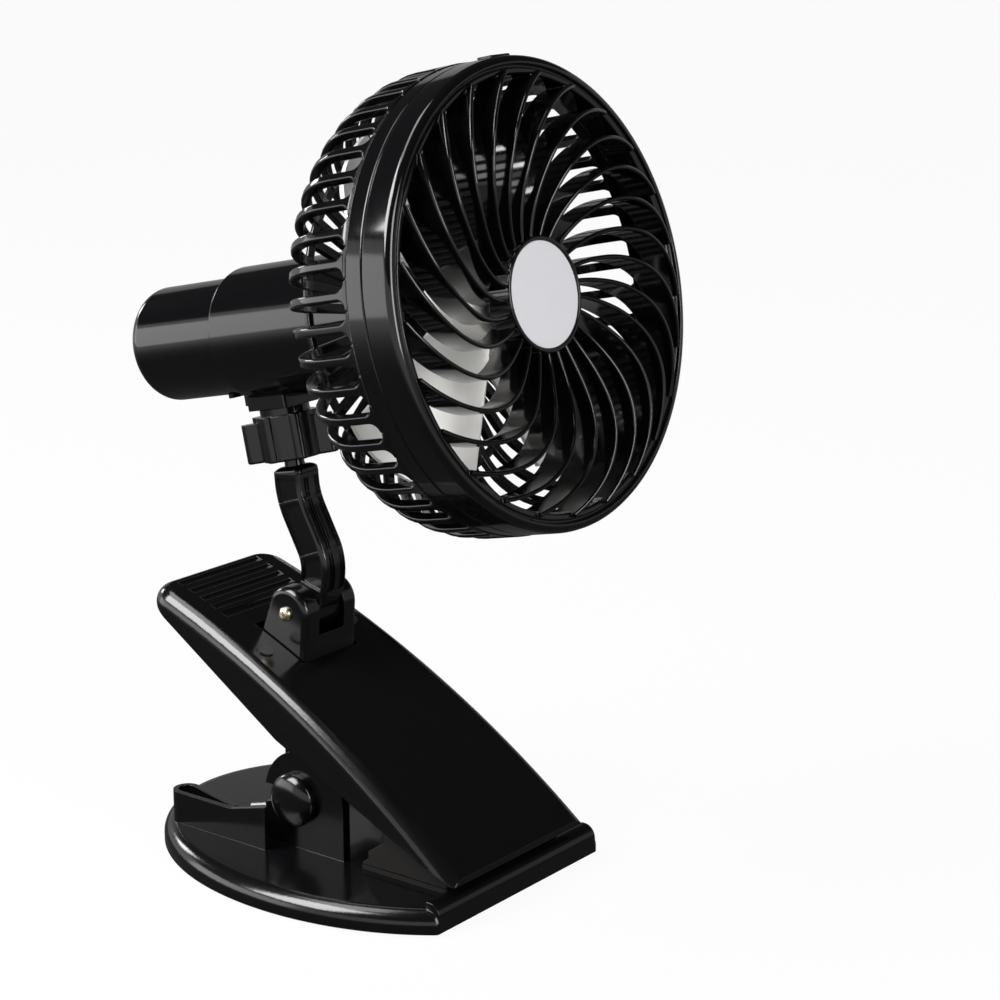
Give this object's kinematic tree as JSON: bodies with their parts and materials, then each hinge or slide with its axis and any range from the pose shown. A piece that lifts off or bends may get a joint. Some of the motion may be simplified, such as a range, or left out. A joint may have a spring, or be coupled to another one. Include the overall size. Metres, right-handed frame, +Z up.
{
  "type": "clip-on fan",
  "caption": "Clip-on desk fan: spring clip with oval foot, folding ribbed arm, ball joint, and caged head with swept front vanes, silver blades and rear battery cover.",
  "frame": {"origin": "centre of the foot's underside, on the surface it stands on", "axes": "+X towards the clip's mouth and the fan's front, +Y to the side with the button, +Z up"},
  "size_m": [0.1652, 0.1326, 0.2452],
  "materials": {
    "black_gloss": "polished black ABS",
    "black_satin": "satin black nylon",
    "jaw_rubber": "dull dark rubber",
    "badge_white": "glossy white",
    "blade_silver": "satin silver",
    "steel": "bright drawn steel",
    "screw_zinc": "bright zinc plate",
    "screw_black": "black oxide",
    "contact_nickel": "nickel plate",
    "cell_wrap": "shrink wrap",
    "board_green": "solder resist",
    "lens_clear": "clear diffuser"
  },
  "bodies": {
    "base": {"clip_base": "black_gloss", "base_plate": "black_satin", "base_screws": "screw_zinc", "base_pad": "jaw_rubber", "lower_jaw_pad": "jaw_rubber", "hinge_pin": "steel", "hinge_caps": "black_gloss", "clip_spring": "steel"},
    "jaw": {"upper_jaw": "black_gloss", "upper_jaw_pad": "jaw_rubber", "arm_bracket": "black_gloss", "bracket_screws": "screw_black", "arm_pivot_screw": "screw_zinc", "arm_pivot_nut": "screw_zinc"},
    "arm": {"arm": "black_satin"},
    "seat": {"ball_seat": "black_satin"},
    "head": {"motor_housing": "black_gloss", "battery_holder": "black_satin", "battery_contact": "contact_nickel", "battery_cell": "cell_wrap", "circuit_board": "board_green", "push_switch": "black_satin", "usb_port": "steel", "led_lens": "lens_clear", "rear_cage": "black_gloss", "cage_screws": "screw_zinc", "front_grille": "black_gloss", "hub_badge": "badge_white", "motor_can": "steel"},
    "nut": {"lock_nut": "black_satin"},
    "cap": {"battery_cap": "black_gloss", "cap_contact": "contact_nickel"},
    "button": {"power_button": "black_satin"},
    "rotor": {"fan_blade": "blade_silver", "motor_shaft": "steel"}
  },
  "joints": [
    {"name": "clip_open", "type": "hinge", "parent": "base", "child": "jaw", "pos_m": [-0.0138, 0, 0.023], "axis": [0, -1, 0], "range_deg": [0, 32], "stiffness_Nm_per_rad": 1, "springref_deg": -34.38, "deforming": ["clip_spring"]},
    {"name": "arm_fold", "type": "hinge", "parent": "jaw", "child": "arm", "pos_m": [-0.0295, 0, 0.0744], "axis": [0, 1, 0], "range_deg": [-40, 40]},
    {"name": "head_swivel", "type": "hinge", "parent": "arm", "child": "seat", "pos_m": [-0.03731, 0, 0.1264], "axis": [-0.2156, 0, 0.9765], "range_deg": [-90, 90]},
    {"name": "head_tilt", "type": "hinge", "parent": "seat", "child": "head", "pos_m": [-0.03731, 0, 0.1264], "axis": [0, 1, 0], "range_deg": [-18, 18]},
    {"name": "blade_spin", "type": "hinge", "parent": "head", "child": "rotor", "pos_m": [0.0593, 0, 0.1805], "axis": [0.9765, 0, 0.2156], "continuous": true},
    {"name": "nut_turn", "type": "hinge", "parent": "head", "child": "nut", "pos_m": [-0.03731, 0, 0.1264], "axis": [-0.2156, 0, 0.9765], "range_deg": [0, 180]},
    {"name": "cap_pull", "type": "slide", "parent": "head", "child": "cap", "axis": [-0.9765, 0, -0.2156], "range_m": [0, 0.045]},
    {"name": "button_press", "type": "slide", "parent": "head", "child": "button", "axis": [0, -1, 0], "range_m": [0, 0.0008], "stiffness_N_per_m": 1500, "springref_m": -0.0006}
  ]
}
